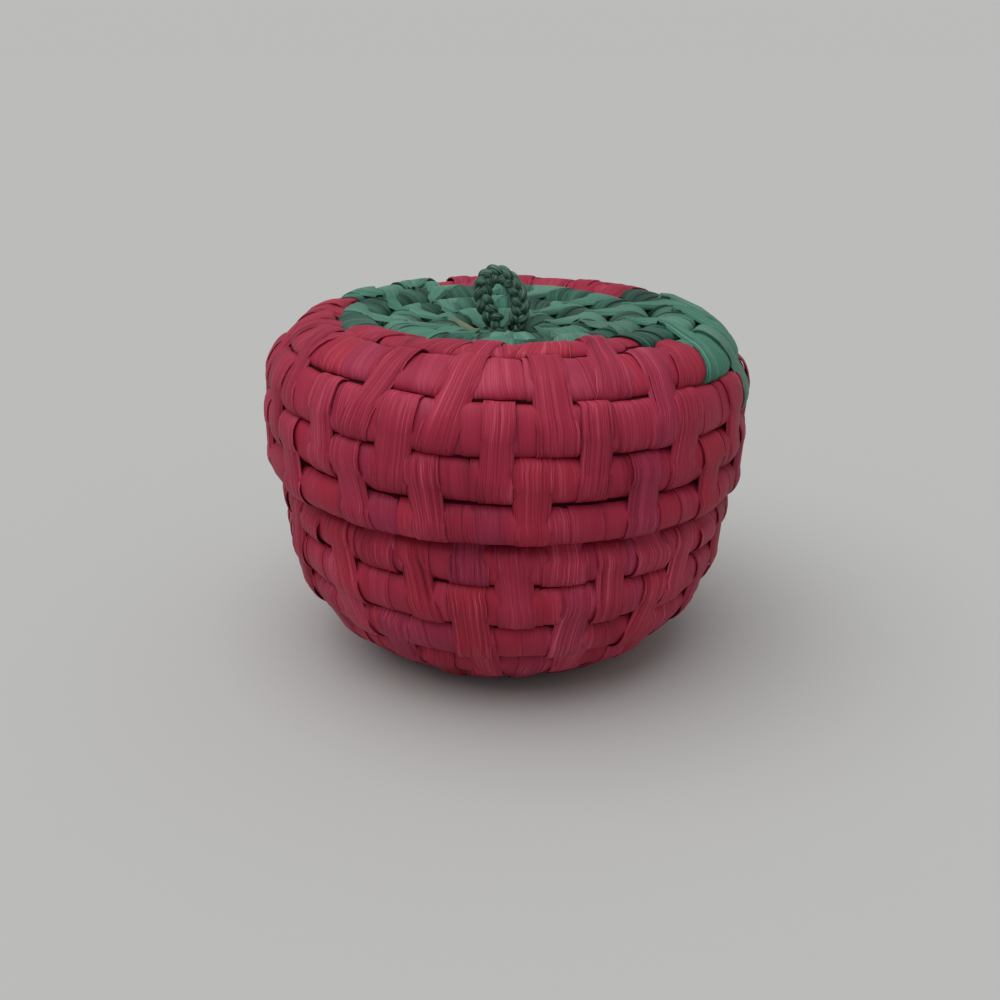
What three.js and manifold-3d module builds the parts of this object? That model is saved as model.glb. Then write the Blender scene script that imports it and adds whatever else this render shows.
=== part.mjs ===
import * as THREE from 'three';
import { mergeVertices } from 'three/addons/utils/BufferGeometryUtils.js';
import Module from 'manifold-3d';

// A lidded trinket basket in the shape of a strawberry, coiled from straw and wrapped with dyed
// palm-leaf strips. Each row is a turn of the coil. Its strip takes long stitches round the row before,
// which hold the two together. The lid lifts off and carries a braided loop.

const wasm = await Module();
wasm.setup();

// Driving dimensions, in millimetres and degrees

const ROLL_RADIUS = 3.6; // a wrapped row
const TIP_RADIUS = 1.1; // the coil's thin ends
const TIP_LENGTH = 45; // of the taper at a coil's outer end, degrees round the basket
const STRIP_WIDTH = 6.5; // a palm-leaf strip
const STRIP_THICKNESS = 0.35;
const STITCH_GAP = 2.4; // between one stitch and those of the rows beside it
const CLEARANCE = 0.3;
const ROW_SLACK = 0.3; // spare room between rows

const BOWL_WALL_RADIUS = 43; // to the middle of the rows
const BOWL_CURVE_RADIUS = 28; // from the base to the wall
const BOWL_TURNS = 7.88;
const BASE_EYE_RADIUS = 0.3;
const BASE_FLAT_DEPTH = 0.5; // worn off the rows that stand on the table

const LIP_LEAN = 53; // from level, as the lip row climbs inward from the shoulder

const LID_OVERHANG = 2.8; // of the lid's edge past the bowl's shoulder
const LID_CURVE_RADIUS = 12; // from the top to the wall
const LID_DISH = 6.8; // slope of the top, down to its middle
const LID_TURNS = 8.2;
const LID_EYE_RADIUS = 1.8; // the hole that the loop's ends go through

const LOOP_HEIGHT = 10.6; // from the line it bends about to the middle of the braid at the top
const LOOP_HALF_WIDTH = 3.8; // to the middle of the braid, halfway up
const LOOP_CROWN_HALF_WIDTH = 2.75;
const LOOP_CROWN_HEIGHT = 1.9; // of the round top
const LOOP_FOOT_HALF_WIDTH = 2.75;
const LOOP_FOOT_DEPTH = 0.9; // below the line that the loop bends about
const STRAND_RADIUS = 0.42;
const BRAID_HALF_WIDTH = 1.05; // to the middle of the strands
const BRAID_HALF_DEPTH = 0.9;
const BRAID_REPEATS = 3;
const KNOT_RADIUS = 4;
const KNOT_HEIGHT = 5;
const KNOT_NECK_RADIUS = 0.9; // where it goes through the eye

const RED = 0xb23a55;
const GREEN = 0x4f8f78;
const DARK_GREEN = 0x2e4d42;

// Sizes that follow from them

const TURN = 2 * Math.PI;
const radians = THREE.MathUtils.degToRad;

// A row's section, as angles from its outer side toward the row after. The two short sides, one facing out
// and one facing in, are where a stitch leaves the row.
const SECTION_ANGLES = [-8, 45, 90, 135, 188, 204, 270, 336].map(radians);
const SIDES = SECTION_ANGLES.length;
const OUTER_SIDE = SIDES - 1;
const INNER_SIDE = SECTION_ANGLES.findIndex((angle) => angle > Math.PI);
// The sides of the row before that a stitch lies on, from its outer face round to its inner face
const [OUTER_FACE, INNER_FACE] = [0, INNER_SIDE - 1];
const [FAR_FACE, FAR_INNER_FACE] = [OUTER_SIDE - 1, INNER_SIDE + 1];
const STITCH_LEAN = radians(33); // half the turn at the section's corner toward the row before

const STITCH_LIFT = CLEARANCE + STRIP_THICKNESS;
const SEAM = STITCH_LIFT / Math.cos(STITCH_LEAN) + CLEARANCE + ROW_SLACK;
const ROW_PITCH = 2 * ROLL_RADIUS + SEAM;
const LID_WALL_RADIUS = BOWL_WALL_RADIUS + LID_OVERHANG;
const STITCH_PAIRS = Math.floor((Math.PI * LID_WALL_RADIUS) / (2 * (STRIP_WIDTH + STITCH_GAP)));
const STITCHES_PER_TURN = 2 * STITCH_PAIRS;
const STITCH_STEP = TURN / STITCHES_PER_TURN;
const STITCH_HALF_ANGLE = STRIP_WIDTH / LID_WALL_RADIUS / 2;
const FULLEST_STEP = radians(16); // between two sections of a row
const SHARP_BENDS = [18, 35].map(radians); // from row to row, past which a stitch lies on one more corner
const BACK = radians(90); // where the coils end and the rows part

// A line in the plane of the axis that goes straight out from the middle, turns through a curve and goes
// straight on along the wall. Distances along it give points (radius, height).
function meridian({ slope, wallRadius, curveRadius, rising }) {
  const way = rising ? 1 : -1;
  const start = radians(slope);
  const end = (way * Math.PI) / 2;
  const straight = (wallRadius - curveRadius * (1 - way * Math.sin(start))) / Math.cos(start);
  const curved = curveRadius * Math.abs(end - start);
  return (distance) => {
    const flat = Math.min(distance, straight);
    const bend = THREE.MathUtils.clamp(distance - straight, 0, curved);
    const wall = Math.max(distance - straight - curved, 0);
    const heading = start + (way * bend) / curveRadius;
    return new THREE.Vector2(
      flat * Math.cos(start) + way * curveRadius * (Math.sin(heading) - Math.sin(start)),
      flat * Math.sin(start) + way * (curveRadius * (Math.cos(start) - Math.cos(heading)) + wall),
    );
  };
}

// A coil winds out along a meridian, one row to a turn. Angles along it count from its inner tip.
class Coil {
  constructor({ line, turns, eyeRadius, sense, outerSide }) {
    this.line = line;
    this.end = turns * TURN;
    this.innerTip = eyeRadius + TIP_RADIUS;
    this.sense = sense;
    this.outerSide = outerSide;
  }

  // The first turn grows from the tip, so it needs less room.
  distance(angle) {
    const turns = angle / TURN;
    const firstPitch = ROW_PITCH - (ROLL_RADIUS - TIP_RADIUS);
    const inner = this.innerTip + firstPitch * Math.min(turns, 1);
    return inner + ROW_PITCH * Math.max(turns - 1, 0);
  }

  radius(angle) {
    const grown = THREE.MathUtils.clamp(angle / TURN, 0, 1);
    const left = THREE.MathUtils.clamp((this.end - angle) / radians(TIP_LENGTH), 0, 1);
    return TIP_RADIUS + (ROLL_RADIUS - TIP_RADIUS) * Math.min(grown, left);
  }

  middle(angle) {
    return this.line(this.distance(angle));
  }

  towardRowBefore(angle) {
    const distance = this.distance(angle);
    return this.line(distance - ROW_PITCH).sub(this.line(distance)).normalize();
  }

  // Toward its outer end the coil thins and lies closer to the row before.
  section(angle) {
    const radius = this.radius(angle);
    const before = this.towardRowBefore(angle);
    const outward = new THREE.Vector2(before.y, -before.x).multiplyScalar(this.outerSide);
    const drawnIn = angle > TURN ? ROLL_RADIUS - radius : 0;
    const middle = this.middle(angle).addScaledVector(before, drawnIn);
    return SECTION_ANGLES.map((turn) =>
      middle
        .clone()
        .addScaledVector(outward, radius * Math.cos(turn))
        .addScaledVector(before, -radius * Math.sin(turn)),
    );
  }

  rowBefore(angle) {
    return this.section(angle - TURN);
  }

  bend(angle) {
    return Math.abs(this.towardRowBefore(angle).angleTo(this.towardRowBefore(angle - TURN)));
  }

  bearing(angle) {
    return BACK + this.sense * (angle - this.end);
  }

  angleAt(bearing, row) {
    const rowStart = this.end - (this.rows() - row + 1) * TURN;
    const turned = this.sense * (bearing - BACK);
    return rowStart + THREE.MathUtils.euclideanModulo(turned, TURN);
  }

  rows() {
    return Math.round(this.end / TURN);
  }

  // The ends of a row, a little apart from the rows before and after. The first row holds the tip.
  rowEnds(row) {
    const start = this.end - (this.rows() - row + 1) * TURN;
    const from = row === 1 ? 0 : start + this.parting(start) / 2;
    return [from, start + TURN - this.parting(start + TURN) / 2];
  }

  parting(angle) {
    return CLEARANCE / this.middle(angle).x;
  }

  inSpace(point, angle) {
    const bearing = this.bearing(angle);
    return new THREE.Vector3(point.x * Math.cos(bearing), point.x * Math.sin(bearing), point.y);
  }
}

// The lip is one more row, sewn to the inner side of the bowl's last row.
class Lip extends Coil {
  constructor(bowlCoil) {
    super(bowlCoil);
    this.bowlCoil = bowlCoil;
    this.end = bowlCoil.end;
    this.lean = new THREE.Vector2(Math.cos(radians(LIP_LEAN)), -Math.sin(radians(LIP_LEAN)));
  }

  radius(angle) {
    const fromStart = THREE.MathUtils.clamp((angle - this.end + TURN) / radians(TIP_LENGTH), 0, 1);
    return Math.min(super.radius(angle), TIP_RADIUS + (ROLL_RADIUS - TIP_RADIUS) * fromStart);
  }

  distance(angle) {
    return this.bowlCoil.distance(angle);
  }

  // It lies close on that row, also where the row thins out toward its end.
  middle(angle) {
    const thinned = ROLL_RADIUS - this.bowlCoil.radius(angle);
    const before = this.bowlCoil.towardRowBefore(angle);
    const row = this.bowlCoil.middle(angle).addScaledVector(before, thinned);
    return row.addScaledVector(this.lean, thinned - ROW_PITCH);
  }

  towardRowBefore() {
    return this.lean.clone();
  }

  rowBefore(angle) {
    return this.bowlCoil.section(angle);
  }

  isFull(angle) {
    const ends = [angle - STITCH_HALF_ANGLE, angle + STITCH_HALF_ANGLE];
    return ends.every((end) => this.radius(end) === ROLL_RADIUS);
  }

  bend(angle) {
    return Math.abs(this.lean.angleTo(this.bowlCoil.towardRowBefore(angle)));
  }
}

// Where two sides of a section meet once each is moved out by its own offset.
function corner(section, sideA, sideB, offsetA, offsetB) {
  const middle = section.reduce((sum, p) => sum.add(p), new THREE.Vector2()).divideScalar(SIDES);
  const edge = (side, offset) => {
    const from = section[side];
    const along = section[(side + 1) % SIDES].clone().sub(from).normalize();
    const normal = new THREE.Vector2(along.y, -along.x);
    if (normal.dot(from.clone().sub(middle)) < 0) normal.negate();
    return { normal, reach: normal.dot(from) + offset };
  };
  const a = edge(sideA, offsetA);
  const b = edge(sideB, offsetB);
  const cross = a.normal.cross(b.normal);
  return new THREE.Vector2(
    (a.reach * b.normal.y - b.reach * a.normal.y) / cross,
    (b.reach * a.normal.x - a.reach * b.normal.x) / cross,
  );
}

// The corners of a stitch round the row before, with one wall of the strip at the given lift.
function stitchCorners(coil, angle, lift, bends) {
  const section = coil.rowBefore(angle);
  const sag = section[INNER_SIDE].x * (1 - Math.cos(STITCH_STEP / 2 - STITCH_HALF_ANGLE));
  const corners = [
    corner(section, OUTER_FACE, FAR_FACE, lift, lift),
    corner(section, FAR_FACE, FAR_INNER_FACE, lift, lift),
    corner(section, FAR_INNER_FACE, INNER_FACE, lift, lift + sag),
  ];
  for (let i = 0; i < bends; i += 1) corners.unshift(corner(section, i, i + 1, lift, lift));
  return corners;
}

// A closed skin of quads and convex caps.
class Skin {
  points = [];
  triangles = [];

  add(points) {
    const first = this.points.length;
    this.points.push(...points);
    return points.map((_, i) => first + i);
  }

  quad([a, b, c, d]) {
    this.triangles.push([a, b, c], [a, c, d]);
  }

  cap(ring) {
    for (let i = 2; i < ring.length; i += 1) this.triangles.push([ring[0], ring[i - 1], ring[i]]);
  }

  geometry() {
    const volume = this.triangles.reduce((sum, [a, b, c]) => {
      const [p, q, r] = [this.points[a], this.points[b], this.points[c]];
      return sum + p.dot(q.clone().cross(r));
    }, 0);
    const index = this.triangles.map(([a, b, c]) => (volume > 0 ? [a, b, c] : [a, c, b]));
    const geometry = new THREE.BufferGeometry().setFromPoints(this.points);
    geometry.setIndex(index.flat());
    geometry.computeVertexNormals();
    return geometry;
  }
}

// One stretch of a coil with the stitches that start from it.
function rowGeometry(coil, [from, to], stitches) {
  const skin = new Skin();
  const marks = [from];
  const stitched = new Set();
  const goTo = (angle) => {
    const last = marks.at(-1);
    const steps = Math.max(1, Math.ceil((angle - last) / FULLEST_STEP));
    for (let i = 1; i <= steps; i += 1) marks.push(last + ((angle - last) * i) / steps);
  };
  for (const angle of stitches) {
    goTo(angle - STITCH_HALF_ANGLE);
    stitched.add(marks.length - 1);
    marks.push(angle + STITCH_HALF_ANGLE);
  }
  goTo(to);

  const rings = marks.map((angle) => skin.add(coil.section(angle).map((p) => coil.inSpace(p, angle))));
  for (let i = 0; i + 1 < rings.length; i += 1) {
    const [near, far] = [rings[i], rings[i + 1]];
    for (let k = 0; k < SIDES; k += 1) {
      const next = (k + 1) % SIDES;
      const open = stitched.has(i) && (k === OUTER_SIDE || k === INNER_SIDE);
      if (!open) skin.quad([near[k], far[k], far[next], near[next]]);
    }
    if (stitched.has(i)) addStitch(skin, coil, marks[i], marks[i + 1], near, far);
  }
  skin.cap(rings[0]);
  skin.cap([...rings.at(-1)].reverse());
  return skin.geometry();
}

// A stitch is a flat strip that leaves the row's outer side, goes round the row before and comes back to the
// row's inner side.
function addStitch(skin, coil, nearAngle, farAngle, near, far) {
  const bend = coil.bend((nearAngle + farAngle) / 2);
  const bends = SHARP_BENDS.filter((limit) => bend > limit).length;
  const wall = (angle, lift) =>
    skin.add(stitchCorners(coil, angle, lift, bends).map((p) => coil.inSpace(p, angle)));
  const nearUnder = [near[OUTER_SIDE], ...wall(nearAngle, CLEARANCE), near[INNER_SIDE + 1]];
  const farUnder = [far[OUTER_SIDE], ...wall(farAngle, CLEARANCE), far[INNER_SIDE + 1]];
  const farOver = [far[0], ...wall(farAngle, STITCH_LIFT), far[INNER_SIDE]];
  const nearOver = [near[0], ...wall(nearAngle, STITCH_LIFT), near[INNER_SIDE]];
  const edges = [nearUnder, farUnder, farOver, nearOver];
  for (let i = 0; i + 1 < nearUnder.length; i += 1) {
    edges.forEach((edge, k) => {
      const beside = edges[(k + 1) % edges.length];
      skin.quad([edge[i], beside[i], beside[i + 1], edge[i + 1]]);
    });
  }
}

const MERGE_DISTANCE = 1e-3;

function toSolid(geometry) {
  const bare = new THREE.BufferGeometry().setAttribute('position', geometry.getAttribute('position'));
  bare.setIndex(geometry.getIndex());
  const merged = mergeVertices(bare, MERGE_DISTANCE);
  return new wasm.Manifold(
    new wasm.Mesh({
      numProp: 3,
      vertProperties: new Float32Array(merged.getAttribute('position').array),
      triVerts: new Uint32Array(merged.getIndex().array),
    }),
  );
}

function toGeometry(solid) {
  const { vertProperties, triVerts } = solid.getMesh();
  const geometry = new THREE.BufferGeometry();
  geometry.setAttribute('position', new THREE.BufferAttribute(vertProperties, 3));
  geometry.setIndex(new THREE.BufferAttribute(triVerts, 1));
  geometry.computeVertexNormals();
  return geometry;
}

function straw(name, geometry, color) {
  const material = new THREE.MeshStandardMaterial({ color, roughness: 0.75, metalness: 0 });
  const mesh = new THREE.Mesh(geometry, material);
  mesh.name = name;
  return mesh;
}

// Stitches of a row stand midway between those of the row before. The small inner rows have half as many,
// and a coil's thin ends have none.
const SPARSE_ROWS = 3;
const FIRST_STITCH = 1.5 * TURN; // from the inner tip
const STITCH_SHIFT = 0.25; // of a step, from where the rows part

function stitchesOf(coil, row, [from, to]) {
  const every = row <= SPARSE_ROWS ? 2 : 1;
  const shift = (row % 2) / 2 + STITCH_SHIFT;
  const first = Math.max(from, FIRST_STITCH) + STITCH_HALF_ANGLE;
  const last = Math.min(to, coil.end - radians(TIP_LENGTH)) - STITCH_HALF_ANGLE;
  const angles = [];
  for (let i = 0; i < STITCHES_PER_TURN; i += every) {
    angles.push(coil.angleAt(BACK + (i + shift) * STITCH_STEP, row));
  }
  return angles.filter((angle) => angle > first && angle < last).sort((a, b) => a - b);
}

// Bowl

const bowlCoil = new Coil({
  line: meridian({ slope: 0, wallRadius: BOWL_WALL_RADIUS, curveRadius: BOWL_CURVE_RADIUS, rising: true }),
  turns: BOWL_TURNS,
  eyeRadius: BASE_EYE_RADIUS,
  sense: -1,
  outerSide: -1,
});
const BASE_MIDDLE_HEIGHT = ROLL_RADIUS - BASE_FLAT_DEPTH;

function clearOfTable(angle) {
  const corners = stitchCorners(bowlCoil, angle, STITCH_LIFT, 0);
  return Math.min(...corners.map((p) => p.y)) > -BASE_MIDDLE_HEIGHT;
}

const bowl = new THREE.Group();
bowl.position.z = BASE_MIDDLE_HEIGHT;
for (let row = 1; row <= bowlCoil.rows(); row += 1) {
  const ends = bowlCoil.rowEnds(row);
  const geometry = rowGeometry(bowlCoil, ends, stitchesOf(bowlCoil, row, ends).filter(clearOfTable));
  const flat = toSolid(geometry).trimByPlane([0, 0, 1], -BASE_MIDDLE_HEIGHT);
  bowl.add(straw(`bowl_row_${row}`, toGeometry(flat), RED));
}

const lip = new Lip(bowlCoil);
const lipEnds = bowlCoil.rowEnds(bowlCoil.rows());
const lipStitches = stitchesOf(lip, bowlCoil.rows(), lipEnds).map((angle) => angle + STITCH_STEP / 2);
bowl.add(straw('bowl_lip', rowGeometry(lip, lipEnds, lipStitches.filter(lip.isFull, lip)), RED));

// Lid

const lidCoil = new Coil({
  line: meridian({
    slope: LID_DISH,
    wallRadius: LID_WALL_RADIUS,
    curveRadius: LID_CURVE_RADIUS,
    rising: false,
  }),
  turns: LID_TURNS,
  eyeRadius: LID_EYE_RADIUS,
  sense: 1,
  outerSide: 1,
});
const GREEN_ROWS = 3;
// Two rows change colour on their way round: each stretch has a name, a colour and the bearing where it ends.
const TWO_COLOUR_ROWS = {
  4: [
    ['lid_row_4_1', GREEN, 219],
    ['lid_row_4_2', RED, 313],
    ['lid_row_4_3', GREEN, 400],
    ['lid_row_4_4', RED],
  ],
  5: [
    ['lid_row_5_1', RED, 118],
    ['sepal_left', GREEN, 158],
    ['lid_row_5_2', RED, 325],
    ['sepal_right', GREEN, 390],
    ['lid_row_5_3', RED],
  ],
};

// The lid's edge seats on the bowl's shoulder, on the stitches that hold the lip.
const seat = 2 * ROLL_RADIUS + STITCH_LIFT / Math.cos(STITCH_LEAN) + 2 * CLEARANCE;
const front = Math.PI;
const shoulder = bowlCoil.middle(bowlCoil.end - front);
const edge = lidCoil.middle(lidCoil.end - front);
const LID_HEIGHT = BASE_MIDDLE_HEIGHT + shoulder.y + Math.sqrt(seat ** 2 - LID_OVERHANG ** 2) - edge.y;

const lid = new THREE.Group();
lid.position.z = LID_HEIGHT;
for (let row = 1; row <= lidCoil.rows(); row += 1) {
  const [from, to] = lidCoil.rowEnds(row);
  const whole = [[`lid_row_${row}`, row <= GREEN_ROWS ? GREEN : RED]];
  let start = from;
  for (const [name, color, bearing] of TWO_COLOUR_ROWS[row] ?? whole) {
    const change = bearing && lidCoil.angleAt(radians(bearing), row);
    const gap = change ? lidCoil.parting(change) / 2 : 0;
    const ends = [start, change ? change - gap : to];
    lid.add(straw(name, rowGeometry(lidCoil, ends, stitchesOf(lidCoil, row, ends)), color));
    start = change + gap;
  }
}

// Loop

const LOOP_PIVOT = ROLL_RADIUS + CLEARANCE + LOOP_FOOT_DEPTH + STRAND_RADIUS; // above the lid's middle
const half = [
  [LOOP_FOOT_HALF_WIDTH, -LOOP_FOOT_DEPTH],
  [LOOP_HALF_WIDTH, LOOP_HEIGHT / 2],
  [LOOP_CROWN_HALF_WIDTH, LOOP_HEIGHT - LOOP_CROWN_HEIGHT],
];
const loopLine = new THREE.CatmullRomCurve3([
  ...half.map(([x, z]) => new THREE.Vector3(-x, 0, z)),
  new THREE.Vector3(0, 0, LOOP_HEIGHT),
  ...half.map(([x, z]) => new THREE.Vector3(x, 0, z)).reverse(),
]);

class Strand extends THREE.Curve {
  constructor(phase) {
    super();
    this.phase = phase;
  }

  getPoint(t, target = new THREE.Vector3()) {
    const along = loopLine.getTangentAt(t);
    const turn = TURN * BRAID_REPEATS * t + this.phase;
    const across = new THREE.Vector3(along.z, 0, -along.x);
    target.copy(loopLine.getPointAt(t)).addScaledVector(across, BRAID_HALF_WIDTH * Math.sin(turn));
    target.y += BRAID_HALF_DEPTH * Math.sin(2 * turn);
    return target;
  }
}

const STRANDS = 3;
const STRAND_SIDES = 6;
const STRAND_STEPS = 36;
const strandSection = new THREE.Shape().absarc(0, 0, STRAND_RADIUS, 0, TURN);
const loop = new THREE.Group();
loop.position.z = LID_HEIGHT + LOOP_PIVOT;
for (let i = 0; i < STRANDS; i += 1) {
  const geometry = new THREE.ExtrudeGeometry(strandSection, {
    steps: STRAND_STEPS,
    curveSegments: STRAND_SIDES / 2,
    extrudePath: new Strand((TURN * i) / STRANDS),
  });
  loop.add(straw(`loop_strand_${i + 1}`, geometry, DARK_GREEN));
}

// The loop's ends go through the eye and are knotted under the lid.
const KNOT_SIDES = 12;
const KNOT_ARC_STEPS = 5;
const knotTop = -ROLL_RADIUS - STITCH_LIFT / Math.cos(STITCH_LEAN) - 2 * CLEARANCE;
const knotMiddle = knotTop - KNOT_HEIGHT / 2;
const neckAngle = Math.acos(KNOT_NECK_RADIUS / KNOT_RADIUS);
const knotArc = new THREE.EllipseCurve(0, knotMiddle, KNOT_RADIUS, KNOT_HEIGHT / 2, -Math.PI / 2, neckAngle);
const neckTop = LOOP_PIVOT - LOOP_FOOT_DEPTH;
const knotProfile = [
  new THREE.Vector2(0, knotMiddle - KNOT_HEIGHT / 2),
  ...knotArc.getPoints(KNOT_ARC_STEPS).slice(1),
  new THREE.Vector2(KNOT_NECK_RADIUS, neckTop),
  new THREE.Vector2(0, neckTop),
];
const knotGeometry = new THREE.LatheGeometry(knotProfile, KNOT_SIDES).rotateX(Math.PI / 2);
lid.add(straw('loop_knot', knotGeometry, DARK_GREEN));

// The least gap between a row and the row before, on points of their sections
function leastRowGap(coil) {
  let least = Infinity;
  for (let angle = TURN; angle <= coil.end; angle += FULLEST_STEP) {
    const before = coil.rowBefore(angle);
    const gaps = coil.section(angle).flatMap((p) => before.map((q) => p.distanceTo(q)));
    least = Math.min(least, ...gaps);
  }
  return least.toFixed(2);
}

console.log(`Least gap between rows: bowl ${leastRowGap(bowlCoil)} mm, lid ${leastRowGap(lidCoil)} mm`);

const basket = new THREE.Group();
basket.add(bowl, lid, loop);

export default basket;
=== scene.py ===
import math
import random

import bmesh
import bpy
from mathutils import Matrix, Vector, noise


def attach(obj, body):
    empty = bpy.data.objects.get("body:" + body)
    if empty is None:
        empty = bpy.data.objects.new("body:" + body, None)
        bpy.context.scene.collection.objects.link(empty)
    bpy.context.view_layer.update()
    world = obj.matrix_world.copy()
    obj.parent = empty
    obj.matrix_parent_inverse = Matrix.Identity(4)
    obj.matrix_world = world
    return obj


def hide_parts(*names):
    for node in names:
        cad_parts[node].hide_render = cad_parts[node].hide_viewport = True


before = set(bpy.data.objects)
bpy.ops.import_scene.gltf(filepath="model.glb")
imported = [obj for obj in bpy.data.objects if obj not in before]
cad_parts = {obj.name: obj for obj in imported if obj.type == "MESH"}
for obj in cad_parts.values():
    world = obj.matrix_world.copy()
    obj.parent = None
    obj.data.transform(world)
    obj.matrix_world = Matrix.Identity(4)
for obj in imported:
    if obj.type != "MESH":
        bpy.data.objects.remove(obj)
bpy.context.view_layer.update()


# Straw bundle of the bowl. A bundle of dry straw is wound in a spiral, from a thin tip in the middle of
# the base, over the curve and up the wall to the shoulder, where it thins out again at the back.

TURN = 2 * math.pi
BACK = math.radians(90)
FRONT = math.radians(270)
ROLL_RADIUS = 0.0036
TIP_RADIUS = 0.0011
TIP_LENGTH = math.radians(45)
ROW_PITCH = 0.008575

# Section of a wrapped row: its depth from the outside in, and its height toward the rows beside it
HALF_DEPTH = 0.0036
HALF_HEIGHT = 0.0043
FREE_HALF_HEIGHT = 0.0036
SQUARENESS = 2 / 2.15
PACKING_OUTSIDE = 1.4
PACKING_INSIDE = 0.9
CORNER_RISE = 3
CORNER_START = 0.5
TABLE_GAP = 0.0008

# Unevenness of the hand-made rows, by kind: how full they are, and how far out and on they lie
FULLNESS, OUTWARD, ONWARD = 1, 2, 3
UNEVEN_PLACE = 0.00035
UNEVEN_SIZE = 0.05
UNEVEN_PACE = 2.6
COILS_APART = 100


class Coil:
    """A spiral of rows. Angles along it count from its inner tip, and distances along its meridian."""

    def __init__(self, height, slope, wall_radius, curve_radius, rising, turns, eye_radius, sense):
        self.height = height
        self.way = 1 if rising else -1
        self.start = math.radians(slope)
        self.curve_radius = curve_radius
        straight = wall_radius - curve_radius * (1 - self.way * math.sin(self.start))
        self.straight = straight / math.cos(self.start)
        self.curved = curve_radius * abs(self.way * math.pi / 2 - self.start)
        self.end = turns * TURN
        self.rows = round(turns)
        self.inner_tip = eye_radius + TIP_RADIUS
        self.sense = sense

    def distance(self, angle):
        turns = angle / TURN
        first_pitch = ROW_PITCH - (ROLL_RADIUS - TIP_RADIUS)
        return self.inner_tip + first_pitch * min(turns, 1) + ROW_PITCH * max(turns - 1, 0)

    def size(self, angle):
        """The share of its full size that the roll has, which thins out to both ends."""
        grown = min(max(angle / TURN, 0), 1)
        left = min(max((self.end - angle) / TIP_LENGTH, 0), 1)
        thin = TIP_RADIUS / ROLL_RADIUS
        return thin + (1 - thin) * min(grown, left)

    def middle(self, angle):
        """The radius and the height of the roll's middle, and the heading of the meridian there."""
        distance = self.distance(angle)
        flat = min(distance, self.straight)
        bend = min(max(distance - self.straight, 0), self.curved)
        wall = max(distance - self.straight - self.curved, 0)
        heading = self.start + self.way * bend / self.curve_radius
        across = math.sin(heading) - math.sin(self.start)
        down = math.cos(self.start) - math.cos(heading)
        radius = flat * math.cos(self.start) + self.way * self.curve_radius * across
        height = flat * math.sin(self.start) + self.way * (self.curve_radius * down + wall)
        return radius, self.height + height, heading

    def bent(self, angle):
        """How sharply the rows turn a corner here, with easy ends."""
        along = (self.distance(angle) - self.straight) / self.curved
        share = CORNER_RISE * min(along, 1 - along) + CORNER_START
        return min(max(share, 0), 1) / self.curve_radius

    def bearing(self, angle):
        return BACK + self.sense * (angle - self.end)

    def angle_at(self, bearing, row):
        return self.row_start(row) + (self.sense * (bearing - BACK)) % TURN

    def row_start(self, row):
        return self.end - (self.rows - row + 1) * TURN

    def row_ends(self, row):
        return max(self.row_start(row), 0), self.row_start(row) + TURN

    def reach(self, angle):
        """The radius that turns a way along the row into an angle."""
        return max(self.middle(angle)[0], ROLL_RADIUS) + HALF_DEPTH / 2

    def unevenness(self, angle, kind):
        return noise.noise(Vector((angle * UNEVEN_PACE, self.height * COILS_APART, kind)))

    def place(self, angle, turn, lift, half_height=HALF_HEIGHT):
        """The point on a row, a lift above its straw, at a turn from its outer side to the next row."""
        radius, height, heading = self.middle(angle)
        size = self.size(angle)
        drawn_in = (1 - size) * ROLL_RADIUS if angle > TURN else 0
        fuller = size * (1 + UNEVEN_SIZE * self.unevenness(angle, FULLNESS))
        cos, sin = math.cos(turn), math.sin(turn)
        out = (HALF_DEPTH * fuller + lift) * math.copysign(abs(cos) ** SQUARENESS, cos)
        if sin > 0 and angle > self.end - TURN:
            half_height = min(half_height, FREE_HALF_HEIGHT)
        after = (half_height * fuller + lift / 2) * math.copysign(abs(sin) ** SQUARENESS, sin)
        packing = PACKING_OUTSIDE if out > 0 else PACKING_INSIDE
        after *= 1 + packing * out * self.bent(angle + math.copysign(math.pi, sin))
        out += UNEVEN_PLACE * size * self.unevenness(angle, OUTWARD)
        after += UNEVEN_PLACE * size * self.unevenness(angle, ONWARD) - drawn_in
        radius += self.way * out * math.sin(heading) + after * math.cos(heading)
        height += after * math.sin(heading) - self.way * out * math.cos(heading)
        bearing = self.bearing(angle)
        return Vector((radius * math.cos(bearing), radius * math.sin(bearing), height))


bowl_coil = Coil(
    height=0.0031,
    slope=0,
    wall_radius=0.043,
    curve_radius=0.028,
    rising=True,
    turns=7.88,
    eye_radius=0.0003,
    sense=-1,
)

STRAW_SINK = -0.0005
STRAW_HALF_HEIGHT = 0.0050
STRAW_SIDES = 16
STRAW_STEPS_PER_TURN = 60
STRAW_CREASE = 60
# Painted shade: the straw is a deep dark red, so that it stands for the shade in the seams between rows
# where it shows
STRAW_PAINTED_SHADE_COLOUR = (0.042, 0.0030, 0.0070)
STRAW_PALER = 1.8
STRAW_MOTTLE = 900
SAME_POINT = 1e-7


def tube(bm, sides, steps, place):
    """Adds a tube with closed ends. Place gives the point at a share of the way round and along."""
    made = bmesh.ops.create_grid(bm, x_segments=sides, y_segments=steps, size=0.5)
    uv = bm.loops.layers.uv.get("UVMap") or bm.loops.layers.uv.new("UVMap")
    for face in {face for vert in made["verts"] for face in vert.link_faces}:
        for loop in face.loops:
            loop[uv].uv = loop.vert.co.xy
    for vert in made["verts"]:
        vert.co = place(vert.co.x + 0.5, vert.co.y + 0.5)
    bmesh.ops.remove_doubles(bm, verts=made["verts"], dist=SAME_POINT)
    bmesh.ops.holes_fill(bm, edges=[edge for edge in bm.edges if edge.is_boundary])
    bmesh.ops.recalc_face_normals(bm, faces=bm.faces)


def keep_above(bm, height):
    """Presses what reaches below a height flat."""
    for vert in bm.verts:
        vert.co.z = max(vert.co.z, height)


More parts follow.
